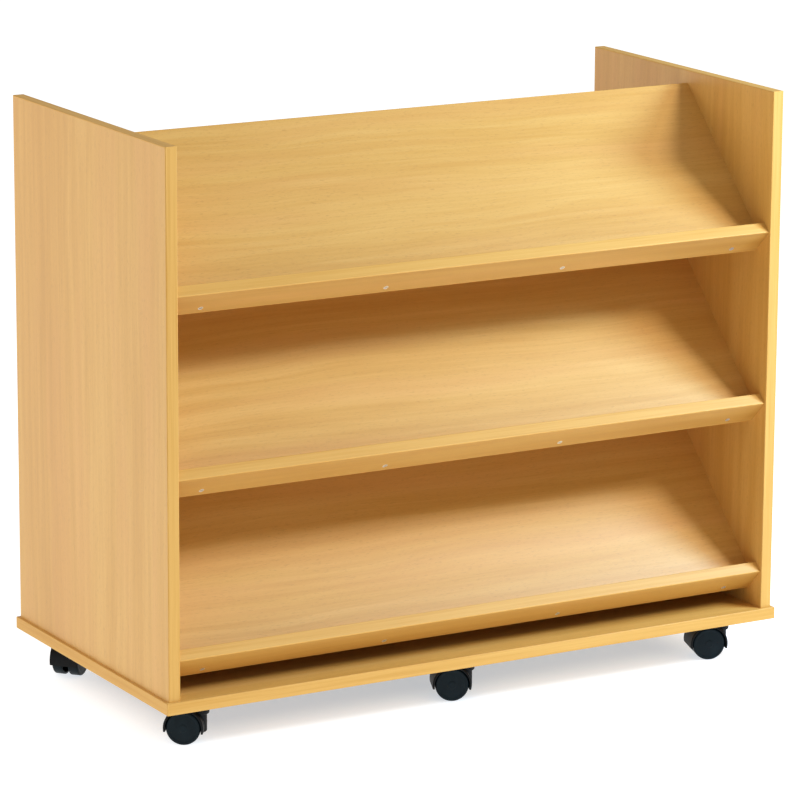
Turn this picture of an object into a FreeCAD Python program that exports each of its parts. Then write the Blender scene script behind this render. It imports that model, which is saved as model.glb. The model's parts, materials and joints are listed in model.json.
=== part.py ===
import FreeCAD, Part
import math
import os

# A double-sided book cart in 18 mm beech-effect board. Two side panels stand on a base board, with
# a thinner upright centre panel let into grooves between them. Three shelves on each side slope down
# at 45 degrees to a lip board, and the base rolls on six hooded twin-wheel castors.
# Millimetres. X runs along the cart, the front faces -Y, and Z is up from the floor, with the origin
# on the floor under the middle of the base board.

# ---- driving dimensions: carcass ----
OUTER_WIDTH = 1025.0  # over the outside faces of the side panels
PANEL_DEPTH = 497.0  # front to rear edge of a side panel
OVERALL_HEIGHT = 875.0  # floor to the top of the side panels
BOARD = 18.0  # thickness of every board but the centre panel
CENTRE_BOARD = 9.0
GROOVE_DEPTH = 6.0  # of the grooves that hold the centre panel
EDGING = 2.0  # thickness of the edging strips
ARRIS = 1.2  # rounding along an edging strip
BASE_OVERHANG = 5.0  # base board beyond the panels, all round
CASTOR_HEIGHT = 62.0  # floor to the underside of the base board

# ---- driving dimensions: sloping tiers ----
SLOPE = 45.0  # degrees above the horizontal
TIER_PITCH = 262.5  # from one tier to the next above
LOWEST_LIP_Z = 137.7  # top front corner of the lowest front lip
REAR_DROP = 12.0  # rear tiers sit lower, so that fixings from the two sides miss each other
LIP_SETBACK = 3.0  # lip corner behind the panels' front edges
LIP_WIDTH = 48.0
LIP_UPSTAND = 25.0  # lip above the shelf's surface, square to the shelf
TIERS = ("bottom", "middle", "top")

# ---- driving dimensions: fixings ----
SCREW_SHANK_D, SCREW_HEAD_D, SCREW_HEAD_H = 4.0, 8.0, 2.4
LIP_SCREW_LENGTH, BASE_SCREW_LENGTH = 38.0, 50.0
LIP_SCREW_X = (-445.0, -148.0, 148.0, 445.0)
LIP_SCREW_DROP = 36.0  # from the lip's top edge, down its face
RECESS_SPAN, RECESS_SLOT, RECESS_DEPTH = 4.6, 1.0, 1.5  # cross recess in a screw head
DOWEL_D, DOWEL_LENGTH, DOWEL_IN_PANEL = 8.0, 30.0, 11.0
DOWEL_INSET = 45.0  # from each end of the shelf's slope
FIXING_GAP = 0.05  # radial gap round a shank or dowel in its hole
PANEL_SCREW_Y = (-200.0, -70.0, 70.0, 200.0)

# ---- driving dimensions: castors ----
WHEEL_R = 25.0
WHEELS_WIDTH = 43.8  # over the crowns of both wheels
WHEEL_GAP = 10.0  # between the two treads
WHEEL_EDGE_R = 2.5
WHEEL_WALL = 2.8
WHEEL_CROWN = 1.2
WHEEL_FLAT_R = 4.0  # flat middle of the crowned disc
TRAIL = 21.3  # axle behind the swivel axis
HOOD_R, HOOD_INNER_R = 29.2, 26.2
HOOD_WIDTH = 45.2
HOOD_FROM, HOOD_TO = -15.7, 191.3  # degrees round the axle, 0 on the swivel side
WEB = 9.0  # housing between the wheels
BOSS_R, BOSS_BOTTOM = 10.5, 15.7
NECK_R, NECK_BOTTOM, NECK_TOP = 14.0, 43.0, 58.7
AXLE_R, AXLE_LENGTH, AXLE_BOSS_R = 3.0, 35.0, 8.5
PINTLE_R, PINTLE_BOTTOM = 3.0, 29.0
COLLAR_R, COLLAR_H = 6.0, 1.0
RUNNING_GAP = 0.05  # radial gap of a turning fit
PLATE, PLATE_T, PLATE_CORNER_R = 36.0, 2.0, 7.0
PLATE_HOLES = 25.0  # spacing of the four screw holes
CASTOR_SCREW_R, CASTOR_SCREW_LENGTH = 1.75, 14.0
PAN_HEAD_R, PAN_HEAD_H = 3.2, 2.0

# Each castor's swivel axis on the base, and the way it points at rest, in degrees from +X: the wheels
# trail behind. The castors are screwed on by eye, so they stand a few millimetres off a true grid.
CASTORS = {
    "front_left": (-442.0, -205.0, 325.0),
    "front_middle": (0.0, -202.0, 336.0),
    "front_right": (450.0, -204.0, 341.5),
    "rear_left": (-445.0, 199.0, 42.5),
    "rear_middle": (1.0, 201.0, 31.0),
    "rear_right": (446.0, 202.0, 18.0),
}

# ---- worked out from the driving dimensions ----
INNER_WIDTH = OUTER_WIDTH - 2 * BOARD
BASE_WIDTH = OUTER_WIDTH + 2 * BASE_OVERHANG
BASE_DEPTH = PANEL_DEPTH + 2 * BASE_OVERHANG
BASE_TOP = CASTOR_HEIGHT + BOARD
COS, SIN = math.cos(math.radians(SLOPE)), math.sin(math.radians(SLOPE))
# Along the slope, a shelf runs from the lip's back until its lower rear corner meets the centre panel.
SHELF_FOOT_Y = -PANEL_DEPTH / 2 + LIP_SETBACK + BOARD * COS + LIP_UPSTAND * SIN
SHELF_LENGTH = (-CENTRE_BOARD / 2 - SHELF_FOOT_Y) / COS - BOARD * SIN / COS
SHELF_UNDER = -LIP_UPSTAND - BOARD  # shelf's underside below the lip's top corner, square to the shelf
SHELF_MIDDLE = -LIP_UPSTAND - BOARD / 2
TOP_LIP_Z = LOWEST_LIP_Z + (len(TIERS) - 1) * TIER_PITCH
RIDGE_Z = TOP_LIP_Z + (BOARD + SHELF_LENGTH) * SIN - LIP_UPSTAND * COS
CENTRE_TOP = RIDGE_Z - 8.0  # the centre panel stops just under the ridge

X_AXIS, Y_AXIS, Z_AXIS = FreeCAD.Vector(1, 0, 0), FreeCAD.Vector(0, 1, 0), FreeCAD.Vector(0, 0, 1)
ORIGIN = FreeCAD.Vector(0, 0, 0)


def box(low, high):
    """A box between two opposite corners."""
    size = [b - a for a, b in zip(low, high)]
    return Part.makeBox(*size, FreeCAD.Vector(*low))


def rounded(solid, radius, wanted):
    """The solid with a fillet on each edge whose middle point passes the test."""
    edges = [e for e in solid.Edges if wanted(e.CenterOfMass)]
    return solid.makeFillet(radius, edges)


def placed(shape, heading, position):
    """The shape turned about Z and moved."""
    moved = shape.copy()
    moved.rotate(ORIGIN, Z_AXIS, heading)
    moved.translate(FreeCAD.Vector(*position))
    return moved


# ---- boards and their edging ----
def side_panel(side):
    """One side panel, as its board and three edging strips: front, top and rear."""
    inner, outer = side * INNER_WIDTH / 2, side * OUTER_WIDTH / 2
    x_low, x_high = min(inner, outer), max(inner, outer)
    half = PANEL_DEPTH / 2
    whole = box((x_low, -half, BASE_TOP), (x_high, half, OVERALL_HEIGHT))
    whole = rounded(whole, ARRIS, lambda p: p.z > BASE_TOP + 1 and not x_low < p.x < x_high)
    under_top = OVERALL_HEIGHT - EDGING
    core = box((x_low, -half + EDGING, BASE_TOP), (x_high, half - EDGING, under_top))
    strips = []
    for y_low, y_high, z_low in (
        (-half, -half + EDGING, BASE_TOP),
        (-half + EDGING, half - EDGING, under_top),
        (half - EDGING, half, BASE_TOP),
    ):
        strips.append(whole.common(box((x_low, y_low, z_low), (x_high, y_high, OVERALL_HEIGHT))))
    return core, strips


def base_board():
    """The base board and its four edging strips."""
    x, y = BASE_WIDTH / 2, BASE_DEPTH / 2
    whole = box((-x, -y, CASTOR_HEIGHT), (x, y, BASE_TOP))
    whole = rounded(whole, ARRIS, lambda p: abs(p.x) > x - 1 or abs(p.y) > y - 1)
    core = box((-x + EDGING, -y + EDGING, CASTOR_HEIGHT), (x - EDGING, y - EDGING, BASE_TOP))
    strips = []
    for side in (-1, 1):
        for (x_a, x_b), (y_a, y_b) in (
            ((-x, x), (side * y, side * (y - EDGING))),
            ((side * x, side * (x - EDGING)), (-y + EDGING, y - EDGING)),
        ):
            low = (min(x_a, x_b), min(y_a, y_b), CASTOR_HEIGHT)
            high = (max(x_a, x_b), max(y_a, y_b), BASE_TOP)
            strips.append(whole.common(box(low, high)))
    return core, strips


def centre_panel(gap=0.0):
    """The upright spine, let into the side panels and the base, and the edging along its top.
    With a gap, the space that its grooves leave for it."""
    x, y = INNER_WIDTH / 2 + GROOVE_DEPTH + gap, CENTRE_BOARD / 2 + gap
    low, high = BASE_TOP - GROOVE_DEPTH - gap, CENTRE_TOP + gap
    if gap:
        return box((-x, -y, low), (x, y, high))
    strip = box((-x, -y, high - EDGING), (x, y, high))
    strip = rounded(strip, ARRIS, lambda p: p.z > high - 0.1 and abs(p.x) < x - 1)
    return box((-x, -y, low), (x, y, high - EDGING)), strip


# ---- sloping tiers ----
# A tier is drawn flat: y runs up the slope from the lip's front face, and z square to the shelf from
# the lip's top corner. It is then tipped up to the slope and set at its height.
def tipped(shape, tier, side):
    """A shape drawn flat, tipped up to its place in a tier: side 1 is the front, -1 the rear."""
    moved = shape.copy()
    moved.rotate(ORIGIN, X_AXIS, SLOPE)
    height = LOWEST_LIP_Z + tier * TIER_PITCH - (REAR_DROP if side < 0 else 0)
    moved.translate(FreeCAD.Vector(0, -PANEL_DEPTH / 2 + LIP_SETBACK, height))
    if side < 0:
        moved.rotate(ORIGIN, Z_AXIS, 180)
    return moved


def shelf_flat():
    """A shelf drawn flat, and the edging on its upper end."""
    x = INNER_WIDTH / 2
    end = BOARD + SHELF_LENGTH
    core = box((-x, BOARD, SHELF_UNDER), (x, end - EDGING, -LIP_UPSTAND))
    strip = box((-x, end - EDGING, SHELF_UNDER), (x, end, -LIP_UPSTAND))
    return core, rounded(strip, ARRIS, lambda p: p.y > end - 0.1 and abs(p.x) < x - 1)


def lip_flat():
    """A lip drawn flat, and the edging along its top and bottom."""
    x = INNER_WIDTH / 2
    core = box((-x, 0, EDGING - LIP_WIDTH), (x, BOARD, -EDGING))
    strips = []
    for z_low, outside in ((-EDGING, 0), (-LIP_WIDTH, -LIP_WIDTH)):
        strip = box((-x, 0, z_low), (x, BOARD, z_low + EDGING))
        strips.append(rounded(strip, ARRIS, lambda p: abs(p.z - outside) < 0.1 and abs(p.x) < x - 1))
    return core, strips


# ---- fixings ----
def countersunk_screw(length, gap=0.0):
    """A cross-head countersunk screw, its head flat at z = 0 and its shank up +Z to a blunt cone.
    With a gap it is the hole for that screw."""
    shank = SCREW_SHANK_D / 2 + gap
    head = Part.makeCone(SCREW_HEAD_D / 2 + gap, shank, SCREW_HEAD_H)
    if gap:
        return head.fuse(Part.makeCylinder(shank, length + gap))
    body = head.fuse(Part.makeCylinder(shank, length - shank))
    tip = FreeCAD.Vector(0, 0, length - shank)
    body = body.fuse(Part.makeCone(shank, shank / 3, shank, tip)).removeSplitter()
    half_span, half_slot = RECESS_SPAN / 2, RECESS_SLOT / 2
    slot = box((-half_span, -half_slot, 0), (half_span, half_slot, RECESS_DEPTH))
    return body.cut(slot).cut(placed(slot, 90, (0, 0, 0)))


def lip_screw_flat(x, gap=0.0):
    """A lip screw in the flat tier, through the lip into the shelf's lower edge."""
    screw = countersunk_screw(LIP_SCREW_LENGTH, gap)
    screw.rotate(ORIGIN, X_AXIS, -90)
    screw.translate(FreeCAD.Vector(x, 0, -LIP_SCREW_DROP))
    return screw


def dowel(x_end, y, z, gap=0.0):
    """A dowel along X that joins a board's end to a side panel; x_end is the panel's inner face."""
    side = math.copysign(1, x_end)
    start = x_end + side * (DOWEL_IN_PANEL + gap)
    centre = FreeCAD.Vector(start, y, z)
    peg = Part.makeCylinder(DOWEL_D / 2 + gap, DOWEL_LENGTH + 2 * gap, centre, X_AXIS * -side)
    if gap:
        return peg
    return peg.makeChamfer(1.0, [e for e in peg.Edges if len(e.Vertexes) == 1])


def shelf_dowels_flat(gap=0.0):
    """The four dowels of a shelf in the flat tier, two at each end."""
    places = (BOARD + DOWEL_INSET, BOARD + SHELF_LENGTH - DOWEL_INSET)
    return [
        dowel(side * INNER_WIDTH / 2, y, SHELF_MIDDLE, gap) for side in (-1, 1) for y in places
    ]


def base_screws(gap=0.0):
    """Screws up through the base board into the side panels."""
    panel_x = (OUTER_WIDTH - BOARD) / 2
    spots = [(side * panel_x, y) for side in (-1, 1) for y in PANEL_SCREW_Y]
    return [placed(countersunk_screw(BASE_SCREW_LENGTH, gap), 0, (x, y, CASTOR_HEIGHT)) for x, y in spots]


# ---- castors, drawn with the swivel axis on Z and the wheels trailing towards -X ----
def across(radius, half_width, x=-TRAIL, z=WHEEL_R):
    """A cylinder across the castor, about a line along Y through x and z."""
    start = FreeCAD.Vector(x, -half_width, z)
    return Part.makeCylinder(radius, 2 * half_width, start, Y_AXIS)


def castor_wheel(side):
    """A wheel as a cup: a crowned outer disc, a tread, and a hub with a blind bore for the axle."""
    inner, outer = WHEEL_GAP / 2, WHEELS_WIDTH / 2
    shoulder = outer - WHEEL_CROWN
    tread_in = WHEEL_R - WHEEL_WALL
    hub = AXLE_R + 3.0
    bore = AXLE_R + RUNNING_GAP
    bore_end = AXLE_LENGTH / 2 + 0.5
    disc_in = outer - WHEEL_CROWN - WHEEL_WALL
    low_shoulder = FreeCAD.Vector(WHEEL_R, shoulder - WHEEL_EDGE_R, 0)
    mid_shoulder = FreeCAD.Vector(
        WHEEL_R - WHEEL_EDGE_R * (1 - SIN), shoulder - WHEEL_EDGE_R * (1 - COS), 0
    )
    top_shoulder = FreeCAD.Vector(WHEEL_R - WHEEL_EDGE_R, shoulder, 0)
    crown_mid = FreeCAD.Vector((top_shoulder.x + WHEEL_FLAT_R) / 2, outer - WHEEL_CROWN / 4, 0)
    crown_top = FreeCAD.Vector(WHEEL_FLAT_R, outer, 0)
    corners = [
        (0, outer), (0, bore_end), (bore, bore_end), (bore, inner), (hub, inner), (hub, disc_in),
        (tread_in, disc_in), (tread_in, inner), (WHEEL_R - 0.8, inner), (WHEEL_R, inner + 0.8),
    ]
    points = [crown_top] + [FreeCAD.Vector(r, y, 0) for r, y in corners] + [low_shoulder]
    edges = [Part.makeLine(a, b) for a, b in zip(points, points[1:])]
    edges.append(Part.Arc(low_shoulder, mid_shoulder, top_shoulder).toShape())
    edges.append(Part.Arc(top_shoulder, crown_mid, crown_top).toShape())
    wheel = Part.Face(Part.Wire(edges)).revolve(ORIGIN, Y_AXIS, 360)
    if side < 0:
        wheel.rotate(ORIGIN, Z_AXIS, 180)
    wheel.translate(FreeCAD.Vector(-TRAIL, 0, WHEEL_R))
    return wheel


def castor_housing():
    """The moulded housing: a hood over both treads, the web between the wheels, the boss that turns
    on the pintle, and the neck under the plate."""
    half = HOOD_WIDTH / 2
    drum = across(HOOD_R, half)
    drum = drum.makeFillet(2.0, [e for e in drum.Edges if len(e.Vertexes) == 1])
    reach = 3 * HOOD_R
    open_from, open_to = math.radians(HOOD_TO), math.radians(HOOD_FROM + 360)
    axle = FreeCAD.Vector(-TRAIL, 0, WHEEL_R)
    corners = [axle]
    for i in range(5):
        a = open_from + (open_to - open_from) * i / 4
        corners.append(axle + FreeCAD.Vector(reach * math.cos(a), 0, reach * math.sin(a)))
    wedge = Part.Face(Part.makePolygon(corners + corners[:1]))
    wedge.translate(FreeCAD.Vector(0, -reach, 0))
    drum = drum.cut(wedge.extrude(FreeCAD.Vector(0, 2 * reach, 0)))

    boss_height = NECK_TOP - BOSS_BOTTOM
    boss = Part.makeCylinder(BOSS_R, boss_height, FreeCAD.Vector(0, 0, BOSS_BOTTOM))
    boss = rounded(boss, 3.0, lambda p: p.z < BOSS_BOTTOM + 0.1)
    neck = Part.makeCylinder(NECK_R, NECK_TOP - NECK_BOTTOM, FreeCAD.Vector(0, 0, NECK_BOTTOM))
    neck = rounded(neck, 2.5, lambda p: p.z < NECK_BOTTOM + 0.1)
    body = drum.fuse(boss).fuse(neck).fuse(across(AXLE_BOSS_R, WEB / 2))

    wheel_space = across(HOOD_INNER_R, 2 * half)
    wheel_space = wheel_space.cut(across(HOOD_INNER_R + 1, WEB / 2))
    body = body.cut(wheel_space)
    body = body.cut(across(AXLE_R + FIXING_GAP / 2, WEB))
    bore = Part.makeCylinder(
        PINTLE_R + RUNNING_GAP, NECK_TOP, FreeCAD.Vector(0, 0, PINTLE_BOTTOM - 0.5)
    )
    return body.cut(bore).removeSplitter()


def castor_axle():
    """The steel axle, held in the web, with a wheel turning on each end."""
    axle = across(AXLE_R, AXLE_LENGTH / 2)
    return axle.makeChamfer(0.5, [e for e in axle.Edges if len(e.Vertexes) == 1])


def pintle():
    """The pin that the housing turns on: riveted into the plate, with a collar under it."""
    under_plate = CASTOR_HEIGHT - PLATE_T
    pin = Part.makeCylinder(PINTLE_R, CASTOR_HEIGHT - PINTLE_BOTTOM, FreeCAD.Vector(0, 0, PINTLE_BOTTOM))
    pin = pin.makeChamfer(0.6, [e for e in pin.Edges if e.CenterOfMass.z < PINTLE_BOTTOM + 0.1])
    collar = Part.makeCylinder(COLLAR_R, COLLAR_H, FreeCAD.Vector(0, 0, under_plate - COLLAR_H))
    return pin.fuse(collar).removeSplitter()


def plate_hole_spots():
    """The four screw positions of a plate."""
    return [(sx * PLATE_HOLES / 2, sy * PLATE_HOLES / 2) for sx in (-1, 1) for sy in (-1, 1)]


def castor_plate():
    """The fixing plate, with four screw holes and the rivet hole for the pintle."""
    half, under_plate = PLATE / 2, CASTOR_HEIGHT - PLATE_T
    plate = box((-half, -half, under_plate), (half, half, CASTOR_HEIGHT))
    plate = rounded(plate, PLATE_CORNER_R, lambda p: abs(p.x) > half - 0.1 and abs(p.y) > half - 0.1)
    for x, y in plate_hole_spots():
        start = FreeCAD.Vector(x, y, under_plate - 1)
        plate = plate.cut(Part.makeCylinder(CASTOR_SCREW_R + 0.35, PLATE_T + 2, start))
    rivet = FreeCAD.Vector(0, 0, under_plate - 1)
    return plate.cut(Part.makeCylinder(PINTLE_R + FIXING_GAP / 2, PLATE_T + 2, rivet))


def castor_screw(x, y, gap=0.0):
    """A pan-head screw up through the plate; with a gap, its pilot hole in the base board."""
    under_plate = CASTOR_HEIGHT - PLATE_T
    shank_start = FreeCAD.Vector(x, y, under_plate)
    shank = Part.makeCylinder(CASTOR_SCREW_R + gap, PLATE_T + CASTOR_SCREW_LENGTH + gap, shank_start)
    if gap:
        return shank
    head = Part.makeCylinder(PAN_HEAD_R, PAN_HEAD_H, FreeCAD.Vector(x, y, under_plate - PAN_HEAD_H))
    head = rounded(head, 1.2, lambda p: p.z < under_plate - PAN_HEAD_H + 0.1)
    half_span, half_slot = RECESS_SPAN / 2 - 0.5, RECESS_SLOT / 2
    low_z, high_z = under_plate - PAN_HEAD_H, under_plate - PAN_HEAD_H + 1.2
    slot = box((-half_span, -half_slot, low_z), (half_span, half_slot, high_z))
    for heading in (0, 90):
        head = head.cut(placed(slot, heading, (x, y, 0)))
    return head.fuse(shank).removeSplitter()


# ---- the assembly ----
parts = {}


def add(name, shape):
    """Keep one sub-part; a list is a group of separate solids that share a node."""
    parts[name] = Part.makeCompound(shape) if isinstance(shape, list) else shape


tiers = [(tier, side) for side in (1, -1) for tier in range(len(TIERS))]
dowels = [tipped(peg, *place) for place in tiers for peg in shelf_dowels_flat()]
dowel_holes = [tipped(peg, *place) for place in tiers for peg in shelf_dowels_flat(FIXING_GAP)]
base_screw_holes = base_screws(FIXING_GAP)
grooves = centre_panel(FIXING_GAP)

for side, name in ((-1, "left"), (1, "right")):
    board, strips = side_panel(side)
    add(f"side_panel_{name}", board.cut(dowel_holes).cut(base_screw_holes).cut(grooves))
    add(f"side_panel_edging_{name}", strips)

castor_pilots = []
for x, y, _ in CASTORS.values():
    pilots = [castor_screw(sx, sy, FIXING_GAP) for sx, sy in plate_hole_spots()]
    castor_pilots += [placed(pilot, 0, (x, y, 0)) for pilot in pilots]
board, strips = base_board()
add("base_board", board.cut(base_screw_holes).cut(castor_pilots).cut(grooves))
add("base_edging", strips)

board, strip = centre_panel()
add("centre_panel", board)
add("centre_panel_edging", strip)

screw_holes = [lip_screw_flat(x, FIXING_GAP) for x in LIP_SCREW_X]
shelf_core, shelf_strip = shelf_flat()
shelf_core = shelf_core.cut(screw_holes).cut(shelf_dowels_flat(FIXING_GAP))
lip_core, lip_strips = lip_flat()
lip_core = lip_core.cut(screw_holes)
shelf_strips = []
for side, face in ((1, "front"), (-1, "rear")):
    face_strips, face_screws = [], []
    for tier, level in enumerate(TIERS):
        add(f"shelf_{face}_{level}", tipped(shelf_core, tier, side))
        add(f"lip_{face}_{level}", tipped(lip_core, tier, side))
        shelf_strips.append(tipped(shelf_strip, tier, side))
        face_strips += [tipped(strip, tier, side) for strip in lip_strips]
        face_screws += [tipped(lip_screw_flat(x), tier, side) for x in LIP_SCREW_X]
    add(f"lip_edging_{face}", face_strips)
    add(f"lip_screws_{face}", face_screws)
add("shelf_edging", shelf_strips)
add("dowels", dowels)
add("base_screws", base_screws())

housing, wheel_a, wheel_b = castor_housing(), castor_wheel(1), castor_wheel(-1)
turning = {"castor_housing": housing, "castor_axle": castor_axle()}
pintles, castor_screws = [], []
for name, (x, y, heading) in CASTORS.items():
    add(f"castor_plate_{name}", placed(castor_plate(), 0, (x, y, 0)))
    pintles.append(placed(pintle(), 0, (x, y, 0)))
    castor_screws += [placed(castor_screw(sx, sy), 0, (x, y, 0)) for sx, sy in plate_hole_spots()]
    for kind, shape in turning.items():
        add(f"{kind}_{name}", placed(shape, heading, (x, y, 0)))
    add(f"castor_wheel_{name}_a", placed(wheel_a, heading, (x, y, 0)))
    add(f"castor_wheel_{name}_b", placed(wheel_b, heading, (x, y, 0)))
add("castor_pintles", pintles)
add("castor_screws", castor_screws)

os.makedirs("parts", exist_ok=True)
for name, shape in parts.items():
    for solid in shape.Solids:
        if not solid.isValid() or solid.Volume <= 0:
            raise ValueError(f"{name} holds a bad solid")
    shape.exportStep(f"parts/{name}.step")
print(len(parts), "nodes,", sum(len(shape.Solids) for shape in parts.values()), "solids")
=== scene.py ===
import json
import math

import bmesh
import bpy
import numpy as np
from mathutils import Matrix, Vector


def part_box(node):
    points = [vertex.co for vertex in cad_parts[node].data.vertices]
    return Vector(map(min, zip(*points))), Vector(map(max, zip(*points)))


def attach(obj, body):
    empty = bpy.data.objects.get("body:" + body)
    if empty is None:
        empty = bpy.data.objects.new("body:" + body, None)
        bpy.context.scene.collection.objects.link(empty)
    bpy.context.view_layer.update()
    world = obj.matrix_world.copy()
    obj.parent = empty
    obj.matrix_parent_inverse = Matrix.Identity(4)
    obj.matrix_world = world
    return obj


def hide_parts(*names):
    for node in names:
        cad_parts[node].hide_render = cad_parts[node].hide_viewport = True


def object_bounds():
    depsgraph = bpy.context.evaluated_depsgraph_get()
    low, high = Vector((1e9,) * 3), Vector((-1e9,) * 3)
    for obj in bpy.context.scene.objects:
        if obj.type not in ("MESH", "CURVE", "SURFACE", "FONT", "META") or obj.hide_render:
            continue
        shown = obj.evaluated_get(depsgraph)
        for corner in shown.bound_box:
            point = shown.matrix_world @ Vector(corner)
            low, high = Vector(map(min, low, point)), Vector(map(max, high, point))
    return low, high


# A double-sided book cart: two side panels and a base board carry six sloping shelves with lips, and
# the whole rolls on six hooded twin-wheel castors. The front tiers face -Y, and the floor is at z = 0.
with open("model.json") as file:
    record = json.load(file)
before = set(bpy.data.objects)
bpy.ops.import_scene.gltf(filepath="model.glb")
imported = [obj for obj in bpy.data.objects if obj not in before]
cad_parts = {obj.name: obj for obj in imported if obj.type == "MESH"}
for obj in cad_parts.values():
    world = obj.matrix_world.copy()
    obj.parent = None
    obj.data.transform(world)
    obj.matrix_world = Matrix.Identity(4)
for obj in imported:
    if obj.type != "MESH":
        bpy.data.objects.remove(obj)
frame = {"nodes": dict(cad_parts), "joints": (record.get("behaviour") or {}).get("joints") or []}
cad_low, cad_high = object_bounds()
nodes = frame["nodes"]


# ---- side panels ----
# Two upright boards of 18 mm particle board, faced with melamine that is printed as beech, its grain
# upright. They stand on the base board, and a 2 mm strip is glued along the front, top and rear edge.
class Wire:
    """A shader socket. Sums, differences and products of wires add Math nodes."""

    def __init__(self, tree, socket=None):
        self.tree, self.socket = tree, socket

    def node(self, kind, settings=None, sockets=None, out=0):
        """Add any node: first its settings, a ramp's stops among them, then its sockets' values and
        links. The answer is its output of that name or number."""
        made = self.tree.nodes.new(kind)
        for key, value in (settings or {}).items():
            if key != "stops":
                setattr(made, key, value)
                continue
            stops = made.color_ramp.elements
            while len(stops) < len(value):
                stops.new(1.0)
            for stop, (position, colour) in zip(stops, value):
                stop.position, stop.color = position, (*colour, 1.0)
        for key, value in (sockets or {}).items():
            if isinstance(value, Wire):
                self.tree.links.new(value.socket, made.inputs[key])
            else:
                made.inputs[key].default_value = value
        return Wire(self.tree, made.outputs[out] if made.outputs else None)

    def maths(self, operation, first, second):
        return self.node("ShaderNodeMath", {"operation": operation}, {0: first, 1: second})

    def __add__(self, other):
        return self.maths("ADD", self, other)

    __radd__ = __add__

    def __sub__(self, other):
        return self.maths("SUBTRACT", self, other)

    def __rsub__(self, other):
        return self.maths("SUBTRACT", other, self)

    def __mul__(self, other):
        return self.maths("MULTIPLY", self, other)

    __rmul__ = __mul__


def new_finish(name):
    """A material with no nodes yet, and a bare wire to add them from."""
    made = bpy.data.materials.new(name)
    made.use_nodes = True
    made.node_tree.nodes.clear()
    return made, Wire(made.node_tree)


def close_finish(wire, colour, roughness, height, rise, **constants):
    """The surface shader: colour, roughness and a bump whose full height is rise metres."""
    normal = wire.node("ShaderNodeBump", None, {"Strength": 1.0, "Distance": rise, "Height": height})
    sockets = {"Base Color": colour, "Roughness": roughness, "Normal": normal, **constants}
    shader = wire.node("ShaderNodeBsdfPrincipled", None, sockets)
    wire.node("ShaderNodeOutputMaterial", None, {"Surface": shader})


def stretched(place, along, length, width, seed, detail=2.0):
    """Noise whose marks are length metres long on one axis and width metres across on the others."""
    scale = [1 / width] * 3
    scale[along] = 1 / length
    shift = [seed * step % 11 for step in (3.1, 5.3, 7.7)]
    moved = place.node("ShaderNodeMapping", None, {"Vector": place, "Location": shift, "Scale": scale})
    return place.node(
        "ShaderNodeTexNoise", None, {"Vector": moved, "Scale": 1.0, "Detail": detail, "Roughness": 0.55}
    )


def above(value, low, high):
    """0 where the value is under low, 1 where it is over high, and smooth between."""
    settings = {"interpolation_type": "SMOOTHSTEP"}
    return value.node("ShaderNodeMapRange", settings, {"Value": value, 1: low, 2: high})


def mixed(share, first, second):
    """Two colours mixed by a wire: all first at 0, all second at 1."""
    return share.node("ShaderNodeMix", {"data_type": "RGBA"}, {0: share, 6: first, 7: second}, 2)


GRAIN_X, GRAIN_Y, GRAIN_Z = 0, 1, 2
MELAMINE_SHINE = {"IOR": 1.5, "Specular IOR Level": 0.5, "Coat Weight": 0.4, "Coat Roughness": 0.45}
GRAIN_RISE, STREAK_RISE = 0.00006, 0.00004  # metres, of the boards' and of the edging's print
BEECH_DEEP, BEECH, BEECH_PALE = (0.65, 0.320, 0.052), (0.71, 0.374, 0.073), (0.77, 0.434, 0.102)
BEECH_ROSE = (0.75, 0.368, 0.094, 1.0)
FLECK_BROWN = (0.46, 0.20, 0.032, 1.0)
ROSE_SHARE, FLECK_SHARE = 0.35, 0.30


def beech(name, along, seed, tint=(1.0, 1.0, 1.0)):
    """Printed beech melamine. Broad bands, streaks and fine lines are noise drawn out along the grain,
    which drifts a little sideways, and short dark flecks lie where the finest noise is highest. A tint
    multiplies the print's colours."""
    made, wire = new_finish(name)
    place = wire.node("ShaderNodeTexCoord", out="Object")
    across = [1.0, 1.0, 1.0]
    across[along] = 0.0
    drift = (stretched(place, along, 0.8, 0.3, seed + 1) - 0.5) * 0.05
    place = wire.node(
        "ShaderNodeVectorMath", {"operation": "MULTIPLY_ADD"}, {0: drift, 1: across, 2: place}
    )
    bands = stretched(place, along, 1.6, 0.11, seed + 2)
    streaks = stretched(place, along, 0.45, 0.016, seed + 3, 3.0)
    lines = stretched(place, along, 0.12, 0.0032, seed + 4, 3.0)
    flecks = above(stretched(place, along, 0.009, 0.0011, seed + 5, 1.0), 0.60, 0.70)
    rose = above(stretched(place, along, 0.7, 0.06, seed + 6), 0.45, 0.70)
    tone = 0.5 + (bands - 0.5) * 0.9 + (streaks - 0.5) * 0.9 + (lines - 0.5) * 0.55
    prints = (0.2, BEECH_DEEP), (0.5, BEECH), (0.8, BEECH_PALE)
    stops = [(stop, [a * b for a, b in zip(shade, tint)]) for stop, shade in prints]
    colour = wire.node("ShaderNodeValToRGB", {"stops": stops}, {"Fac": tone})
    colour = mixed(rose * ROSE_SHARE, colour, BEECH_ROSE)
    colour = mixed(flecks * FLECK_SHARE, colour, FLECK_BROWN)
    roughness = 0.40 + 0.12 * lines + 0.06 * bands
    height = lines * 0.4 + (1 - flecks) * 0.6
    close_finish(wire, colour, roughness, height, GRAIN_RISE, **MELAMINE_SHINE)
    return made


def dress(node, finish):
    """Give a CAD node its finish."""
    for slot in nodes[node].material_slots:
        slot.material = finish


EDGING_BEECH = (0.72, 0.385, 0.082)
EDGING_SHINE = {"IOR": 1.5, "Specular IOR Level": 0.35}


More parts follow.
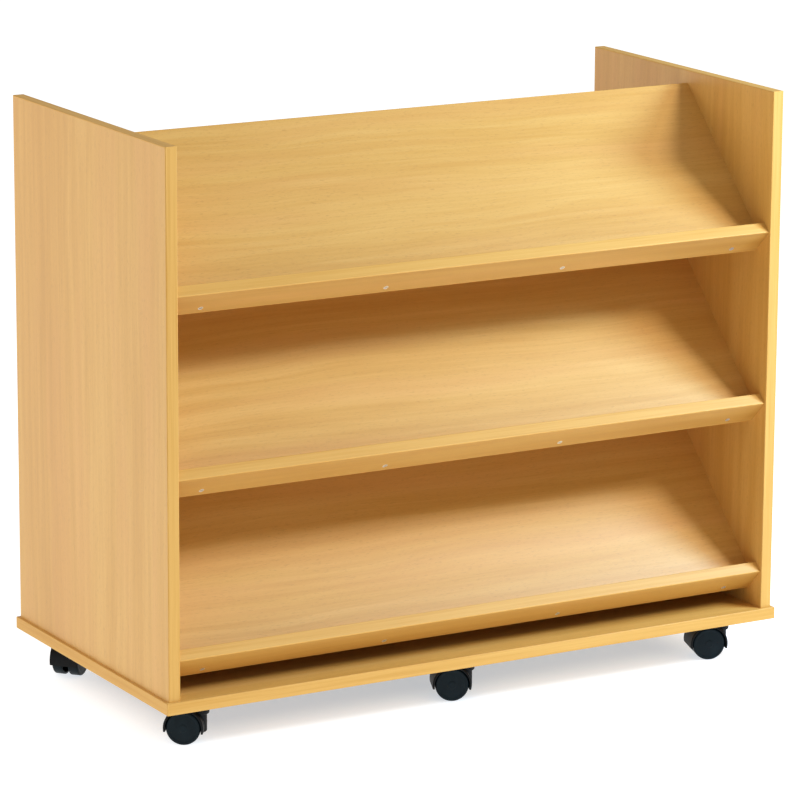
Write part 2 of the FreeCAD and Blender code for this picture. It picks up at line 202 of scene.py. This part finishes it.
def strip_finish(name, along, other, axis, limit, seed):
    """Beech edging: fine streaks along each strip. Where the distance from the middle on one axis
    passes a limit, the strip there runs the other way. Its print is plainer than the boards'."""
    made, wire = new_finish(name)
    place = wire.node("ShaderNodeTexCoord", out="Object")
    apart = wire.node("ShaderNodeSeparateXYZ", None, {0: place}, axis)
    turned = wire.maths("GREATER_THAN", wire.maths("ABSOLUTE", apart, 0.0), limit)
    marks = []
    for direction in (along, other):
        streaks = stretched(place, direction, 0.35, 0.006, seed, 3.0)
        lines = stretched(place, direction, 0.10, 0.0012, seed + 1)
        marks.append((streaks * 0.6 + lines * 0.4, lines))
    (tone, lines), (tone_other, lines_other) = marks
    tone = tone + turned * (tone_other - tone)
    lines = lines + turned * (lines_other - lines)
    stops = [(0.3, BEECH_DEEP), (0.5, EDGING_BEECH), (0.7, BEECH_PALE)]
    colour = wire.node("ShaderNodeValToRGB", {"stops": stops}, {"Fac": tone})
    close_finish(wire, colour, 0.42 + 0.14 * lines, lines, STREAK_RISE, **EDGING_SHINE)
    return made


panel_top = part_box("side_panel_left")[1].z
for count, side in enumerate(("left", "right")):
    dress(f"side_panel_{side}", beech(f"side_panel_beech_{side}", GRAIN_Z, 20 + 31 * count))
    edging = strip_finish(f"side_edging_beech_{side}", GRAIN_Z, GRAIN_Y, GRAIN_Z, panel_top, 11 + count)
    dress(f"side_panel_edging_{side}", edging)


# ---- base board and centre panel ----
# The base is one more 18 mm board, edged all round, with its grain along the cart. The centre panel is
# a thin board on its long edge, let into grooves in the base and the side panels.
base_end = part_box("base_board")[1].x
dress("base_board", beech("base_beech", GRAIN_X, 5))
dress("base_edging", strip_finish("base_edging_beech", GRAIN_X, GRAIN_Y, GRAIN_X, base_end, 41))
dress("centre_panel", beech("centre_panel_beech", GRAIN_X, 77))
# The strips that share this finish all run along the cart, and none rises past the limit.
ridge_edging = strip_finish("ridge_edging_beech", GRAIN_X, GRAIN_X, GRAIN_Z, cad_high.z, 53)
dress("centre_panel_edging", ridge_edging)


# ---- shelves and lips ----
# Each shelf is an 18 mm board that slopes up to the centre panel between the side panels. A narrow
# board is screwed square to its lower edge as the lip. Both have their grain along the cart.
LIP_PAINTED_SHADE = (0.78, 0.70, 0.49)  # painted shade on the down-facing lips, most in blue
tiers = [f"{face}_{level}" for face in ("front", "rear") for level in ("bottom", "middle", "top")]
for count, tier in enumerate(tiers):
    dress(f"shelf_{tier}", beech(f"shelf_beech_{tier}", GRAIN_X, 101 + 17 * count))
    # Painted shade darkens the lips' print.
    dress(f"lip_{tier}", beech(f"lip_beech_{tier}", GRAIN_X, 211 + 13 * count, LIP_PAINTED_SHADE))
for name in ("shelf_edging", "lip_edging_front", "lip_edging_rear"):
    dress(name, ridge_edging)


# ---- dowels and screws ----
# Plain beech pegs join the shelves to the side panels. The lips, the side panels and the castor plates
# are held by cross-head wood screws, pressed and rolled from wire and plated with bright zinc.
MARK_SIZE, MARK_RISE, DULL_SHARE = 0.0003, 0.00001, 0.82


def plated(name, colour, rough, spread):
    """A plated or drawn metal: its shine is uneven in small cloudy patches, over fine tool marks."""
    made, wire = new_finish(name)
    place = wire.node("ShaderNodeTexCoord", out="Object")
    cloud = stretched(place, GRAIN_X, spread, spread, 3)
    marks = stretched(place, GRAIN_Z, MARK_SIZE, MARK_SIZE, 9)
    dull = [channel * DULL_SHARE for channel in colour]
    tone = wire.node("ShaderNodeValToRGB", {"stops": [(0.3, dull), (0.7, colour)]}, {"Fac": cloud})
    roughness = rough + 0.14 * cloud + 0.05 * marks
    close_finish(wire, tone, roughness, marks, MARK_RISE, Metallic=1.0)
    return made


dress("dowels", beech("dowel_beech", GRAIN_X, 61))
bright_zinc = plated("bright_zinc", (0.96, 0.96, 0.94), rough=0.30, spread=0.004)
for name in ("lip_screws_front", "lip_screws_rear", "base_screws", "castor_screws"):
    dress(name, bright_zinc)


# ---- castor plates, pintles and axles ----
# Each plate is pressed from 2 mm steel and coated black. The pintle is riveted into it, and the axle
# is a length of bright drawn rod pressed through the housing.
SCUFF_GREY, SCUFF_SHARE = (0.04, 0.04, 0.042, 1.0), 0.25
PALER_TIMES, PALER_PLUS = 1.9, 0.002


def moulded(name, colour, rough, grain, rise, **constants):
    """Black plastic or coating: a fine even texture, with faint lighter scuffs in long patches."""
    made, wire = new_finish(name)
    place = wire.node("ShaderNodeTexCoord", out="Object")
    texture = stretched(place, GRAIN_X, grain, grain, 5, 3.0)
    cloud = stretched(place, GRAIN_Z, 0.03, 0.012, 8, 3.0)
    scuffs = above(stretched(place, GRAIN_Y, 0.010, 0.0006, 2), 0.66, 0.76) * above(cloud, 0.5, 0.7)
    paler = [channel * PALER_TIMES + PALER_PLUS for channel in colour]
    tone = wire.node("ShaderNodeValToRGB", {"stops": [(0.3, colour), (0.9, paler)]}, {"Fac": cloud})
    tone = mixed(scuffs * SCUFF_SHARE, tone, SCUFF_GREY)
    roughness = rough + 0.10 * cloud + 0.12 * scuffs
    close_finish(wire, tone, roughness, texture, rise, **constants)
    return made


CASTORS = [f"{end}_{side}" for end in ("front", "rear") for side in ("left", "middle", "right")]
plate_black = moulded(
    "castor_plate_coating", (0.010, 0.010, 0.010), rough=0.40, grain=0.0009, rise=0.00003
)
drawn_steel = plated("drawn_steel", (0.62, 0.62, 0.61), rough=0.26, spread=0.003)
dress("castor_pintles", drawn_steel)
for castor in CASTORS:
    dress(f"castor_plate_{castor}", plate_black)
    dress(f"castor_axle_{castor}", drawn_steel)


# ---- castor housings ----
# One moulding of black nylon each: the hood over both wheels, the web between them, and the boss that
# turns on the pintle.
DULL_NYLON = {"IOR": 1.5, "Specular IOR Level": 0.14}
hood_nylon = moulded(
    "castor_hood_nylon", (0.0035, 0.0040, 0.0045), rough=0.42, grain=0.0007, rise=0.00004, **DULL_NYLON
)
for castor in CASTORS:
    dress(f"castor_housing_{castor}", hood_nylon)


# ---- castor wheels ----
# Two cups of black nylon to a castor, snapped onto the ends of the axle. The outer face is slightly
# domed, with a small cap in the middle and a shallow step inside the rim, and ribs stiffen the inside.
WHEEL_R, SHOULDER_R, TREAD_LIP_R, FACE_DOME = 0.025, 0.0025, 0.0008, 0.0012
CAP_R, STEP_R, STEP_DEPTH, STEP_WIDTH = 0.0052, 0.0208, 0.0005, 0.0006
RIM_WALL, FILLET_R, HUB_R, HUB_CHAMFER = 0.0028, 0.0010, 0.0060, 0.0003
BORE_R, BORE_DEPTH = 0.00305, 0.013
RIBS, RIB_WIDTH, RIB_HEIGHT, RIB_SIDE, RIB_SETBACK = 6, 0.0018, 0.0085, 0.0005, 0.001
TURN_STEPS = 144
SAME_PLACE = 1e-6  # metres; points nearer than this are one point
SHARP_EDGE = math.radians(35)

wheel_nylon = moulded(
    "castor_wheel_nylon", (0.0010, 0.0055, 0.0080), rough=0.34, grain=0.0011, rise=0.00002, **DULL_NYLON
)


def arc(centre, radius, start, stop, steps):
    """Points on a circle arc in the (radius, depth) plane, angles in degrees."""
    turn = np.radians(np.linspace(start, stop, steps))
    return np.stack([centre[0] + radius * np.cos(turn), centre[1] + radius * np.sin(turn)], 1)


def wheel_profile(outer, inner):
    """The wheel's section, as radius and depth along the axle, from the middle of the outer face round
    the tread and back into the end of the bore. The face falls from the middle by the square of the
    radius; a smooth step lowers the ring between cap and rim."""
    flat_r = WHEEL_R - SHOULDER_R
    face_r = np.concatenate([np.linspace(0, CAP_R, 7), np.linspace(CAP_R, flat_r, 34)[1:]])
    dome = outer - FACE_DOME * (face_r / flat_r) ** 2
    edge_in = np.clip((face_r - CAP_R) / STEP_WIDTH, 0, 1)
    edge_out = np.clip((STEP_R - face_r) / STEP_WIDTH, 0, 1)
    face = np.stack([face_r, dome - STEP_DEPTH * (edge_in * edge_out) ** 2], 1)
    shoulder = arc((flat_r, outer - FACE_DOME - SHOULDER_R), SHOULDER_R, 90, 0, 9)
    tread = arc((WHEEL_R - TREAD_LIP_R, inner + TREAD_LIP_R), TREAD_LIP_R, 0, -90, 5)
    rim_in = WHEEL_R - RIM_WALL
    floor_y = outer - FACE_DOME - RIM_WALL
    rim = np.array([[rim_in, inner]])
    corner = arc((rim_in - FILLET_R, floor_y - FILLET_R), FILLET_R, 0, 90, 6)
    floor_r = np.linspace(rim_in - FILLET_R, HUB_R + FILLET_R, 16)[1:-1]
    floor = np.stack([floor_r, np.full_like(floor_r, floor_y)], 1)
    root = arc((HUB_R + FILLET_R, floor_y - FILLET_R), FILLET_R, 90, 180, 6)
    bore_end = inner + BORE_DEPTH
    hub = np.array([[HUB_R, inner + HUB_CHAMFER], [HUB_R - HUB_CHAMFER, inner], [BORE_R, inner],
                    [BORE_R, bore_end], [0.0, bore_end]])
    return np.concatenate([face, shoulder, tread, rim, corner, floor, root, hub])


def rib_rise(radius, turn, depth, inner, floor_y):
    """How far the inner floor rises into a rib: full height within half a rib's width of each of the
    evenly spaced rib lines, with steep straight sides, and nothing off the floor."""
    pitch = 2 * np.pi / RIBS
    off = np.abs((turn + pitch / 2) % pitch - pitch / 2) * radius
    side = np.clip((RIB_WIDTH / 2 + RIB_SIDE - off) / RIB_SIDE, 0, 1)
    on_floor = (np.abs(depth - floor_y) < SAME_PLACE) & (radius > HUB_R) & (radius < WHEEL_R - RIM_WALL)
    return np.where(on_floor, side * min(RIB_HEIGHT, floor_y - inner - RIB_SETBACK), 0.0)


def wheel_surface(centre, outward, inner, outer):
    """The wheel on a grid of profile points by turns round the axle. Each point is the centre, plus its
    radius in the direction of its turn, plus its depth along the axle, less the rise of a rib."""
    turn = np.linspace(0, 2 * np.pi, TURN_STEPS, endpoint=False)
    radius, depth = (column[:, None] * np.ones(TURN_STEPS) for column in wheel_profile(outer, inner).T)
    depth = depth - rib_rise(radius, turn, depth, inner, outer - FACE_DOME - RIM_WALL)
    up = np.array([0.0, 0.0, 1.0])
    forward = np.cross(outward, up)
    ray = np.cos(turn)[:, None] * forward + np.sin(turn)[:, None] * up
    return centre + radius[..., None] * ray + depth[..., None] * outward


def grid_faces(rows, columns):
    """Quads of a grid that closes on itself round its columns."""
    row, column = np.meshgrid(np.arange(rows - 1), np.arange(columns), indexing="ij")
    after = (column + 1) % columns
    corners = [row * columns + column, row * columns + after, (row + 1) * columns + after,
               (row + 1) * columns + column]
    return np.stack(corners, -1).reshape(-1, 4)


def solid_wheel(name, surface):
    """A closed mesh from the grid: doubles merged, normals outward, smooth but for its sharp edges."""
    mesh = bpy.data.meshes.new(name)
    mesh.from_pydata(surface.reshape(-1, 3).tolist(), [], grid_faces(*surface.shape[:2]).tolist())
    work = bmesh.new()
    work.from_mesh(mesh)
    bmesh.ops.remove_doubles(work, verts=work.verts, dist=SAME_PLACE)
    bmesh.ops.recalc_face_normals(work, faces=work.faces)
    work.to_mesh(mesh)
    work.free()
    mesh.shade_smooth()
    mesh.set_sharp_from_angle(angle=SHARP_EDGE)
    mesh.materials.append(wheel_nylon)
    piece = bpy.data.objects.new(name, mesh)
    bpy.context.scene.collection.objects.link(piece)
    return piece


def reach_along(node, centre, outward):
    """How near and how far a CAD node's points lie from a centre, along a direction."""
    points = np.empty(len(nodes[node].data.vertices) * 3, np.float32)
    nodes[node].data.vertices.foreach_get("co", points)
    reach = (points.reshape(-1, 3) - centre) @ outward
    return reach.min(), reach.max()


spins = {joint["child"]: joint for joint in frame["joints"] if joint["name"].startswith("spin_")}
for castor in CASTORS:
    for letter, side in (("a", 1), ("b", -1)):
        joint = spins[f"wheel_{castor}_{letter}"]
        centre = np.array(joint["pos_m"])
        outward = side * np.array(joint["axis"])
        node = f"castor_wheel_{castor}_{letter}"
        surface = wheel_surface(centre, outward, *reach_along(node, centre, outward))
        wheel = solid_wheel(f"nylon_wheel_{castor}_{letter}", surface)
        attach(wheel, joint["child"])
        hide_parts(node)


# ---- floor, light and camera ----
# A white floor that glows a little, as painted light, under an even white sky. A large soft light at
# the front right gives the shading, one beside it only the sheen on the boards, and two weak ones fill
# the shadows.
FLOOR_HALF, FLOOR_Z = 30.0, -0.0002
FLOOR_SHADE, FLOOR_WHITE = (0.45, 0.48, 0.51), (0.48, 0.51, 0.54)
# The dimmest glow, under the cart, is a painted shadow.
GLOW_PAINTED_SHADOW = (0.34, 0.41, 0.49, 1.0)
GLOW_OPEN = (0.90, 0.90, 0.90, 1.0)
GLOW_FRONT = (0.55, 0.55, 0.55, 1.0)
GLOW_INSET, GLOW_SPREAD = 0.14, (0.0, 0.18)  # metres in from the cart's footprint, and out from there
BACKDROP_WAY, FRONT_FADE = (0.3, 0.95, 0.0), (-2.2, -1.1)
floor_mesh = bpy.data.meshes.new("floor")
floor_mesh.from_pydata(
    [(x * FLOOR_HALF, y * FLOOR_HALF, FLOOR_Z) for x, y in ((-1, -1), (1, -1), (1, 1), (-1, 1))],
    [], [(0, 1, 2, 3)],
)
floor = bpy.data.objects.new("floor", floor_mesh)
bpy.context.scene.collection.objects.link(floor)
floor_white, wire = new_finish("floor_white")
place = wire.node("ShaderNodeTexCoord", out="Object")
speckle = stretched(place, GRAIN_X, 0.4, 0.4, 1)
stops = [(0.0, FLOOR_SHADE), (1.0, FLOOR_WHITE)]
white = wire.node("ShaderNodeValToRGB", {"stops": stops}, {"Fac": speckle})
# The glow is weakest under the cart, where it paints the cart's shadow, full beside it, and weaker
# again far in front of it.
half = (cad_high.x - GLOW_INSET, cad_high.y - GLOW_INSET, 1.0)
beyond = wire.node("ShaderNodeVectorMath", {"operation": "ABSOLUTE"}, {0: place})
beyond = wire.node("ShaderNodeVectorMath", {"operation": "SUBTRACT"}, {0: beyond, 1: half})
beyond = wire.node("ShaderNodeVectorMath", {"operation": "MAXIMUM"}, {0: beyond, 1: (0.0, 0.0, 0.0)})
away = wire.node("ShaderNodeVectorMath", {"operation": "LENGTH"}, {0: beyond}, 1)
behind = wire.node("ShaderNodeVectorMath", {"operation": "DOT_PRODUCT"}, {0: place, 1: BACKDROP_WAY}, 1)
glow = mixed(above(away, *GLOW_SPREAD), GLOW_PAINTED_SHADOW, GLOW_OPEN)
glow = mixed(above(behind, *FRONT_FADE), GLOW_FRONT, glow)
close_finish(
    wire, white, 0.8 + 0.1 * speckle, speckle, 0.0,
    **{"Specular IOR Level": 0.1, "Emission Color": glow, "Emission Strength": 1.0},
)
floor_mesh.materials.append(floor_white)

SKY_STRENGTH = 0.37
sky = bpy.data.worlds.new("sky")
sky.use_nodes = True
sky.node_tree.nodes["Background"].inputs["Color"].default_value = (1.0, 1.0, 1.0, 1.0)
sky.node_tree.nodes["Background"].inputs["Strength"].default_value = SKY_STRENGTH
bpy.context.scene.world = sky


def soft_light(name, heading, rise, power, aim, distance, size, scattered=1.0, tint=(1.0, 1.0, 1.0)):
    """A round soft light that shines on a point from a heading, in degrees from +X, and a rise. The
    scattered share is 0 for a light that shows only as a sheen."""
    heading, rise = math.radians(heading), math.radians(rise)
    level = math.cos(rise)
    toward = Vector((math.cos(heading) * level, math.sin(heading) * level, math.sin(rise)))
    light = bpy.data.objects.new(name, bpy.data.lights.new(name, "AREA"))
    light.data.shape, light.data.size, light.data.energy = "DISK", size, power
    light.data.diffuse_factor, light.data.color = scattered, tint
    light.rotation_mode = "QUATERNION"
    light.rotation_quaternion = toward.to_track_quat("Z", "Y")
    light.location = Vector(aim) + toward * distance
    light.visible_camera = False
    bpy.context.scene.collection.objects.link(light)


soft_light("key_light", heading=-51.0, rise=36.0, power=60.0, aim=(0.15, -0.1, 0.5), distance=3.5,
           size=0.7)
soft_light("sheen_light", heading=-38.0, rise=43.5, power=42.0, aim=(0.6, -0.3, 0.28), distance=1.6,
           size=0.5, scattered=0.0, tint=(0.40, 0.66, 1.0))
soft_light("rear_fill", heading=140.0, rise=28.0, power=22.0, aim=(0.0, 0.1, 0.45), distance=3.2,
           size=1.6)
soft_light("left_fill", heading=186.0, rise=2.0, power=8.5, aim=(-0.5, 0.0, 0.45), distance=2.6,
           size=1.8)

CAMERA_PLACE = (-3.1450, -5.5018, 1.9125)
CAMERA_YAW, CAMERA_PITCH, CAMERA_ROLL = (math.radians(angle) for angle in (29.77, 13.34, 0.32))
CAMERA_LENS, CAMERA_FILM = 195.58, 36.0  # millimetres
CAMERA_REACH = 200.0
camera = bpy.data.objects.new("camera", bpy.data.cameras.new("camera"))
camera.data.lens, camera.data.sensor_width = CAMERA_LENS, CAMERA_FILM
camera.data.clip_end = CAMERA_REACH
turned = Matrix.Rotation(-CAMERA_YAW, 4, "Z") @ Matrix.Rotation(math.pi / 2 - CAMERA_PITCH, 4, "X")
camera.matrix_world = Matrix.Translation(CAMERA_PLACE) @ turned @ Matrix.Rotation(CAMERA_ROLL, 4, "Z")
bpy.context.scene.collection.objects.link(camera)
bpy.context.scene.camera = camera
bpy.context.scene.view_settings.view_transform = "Standard"
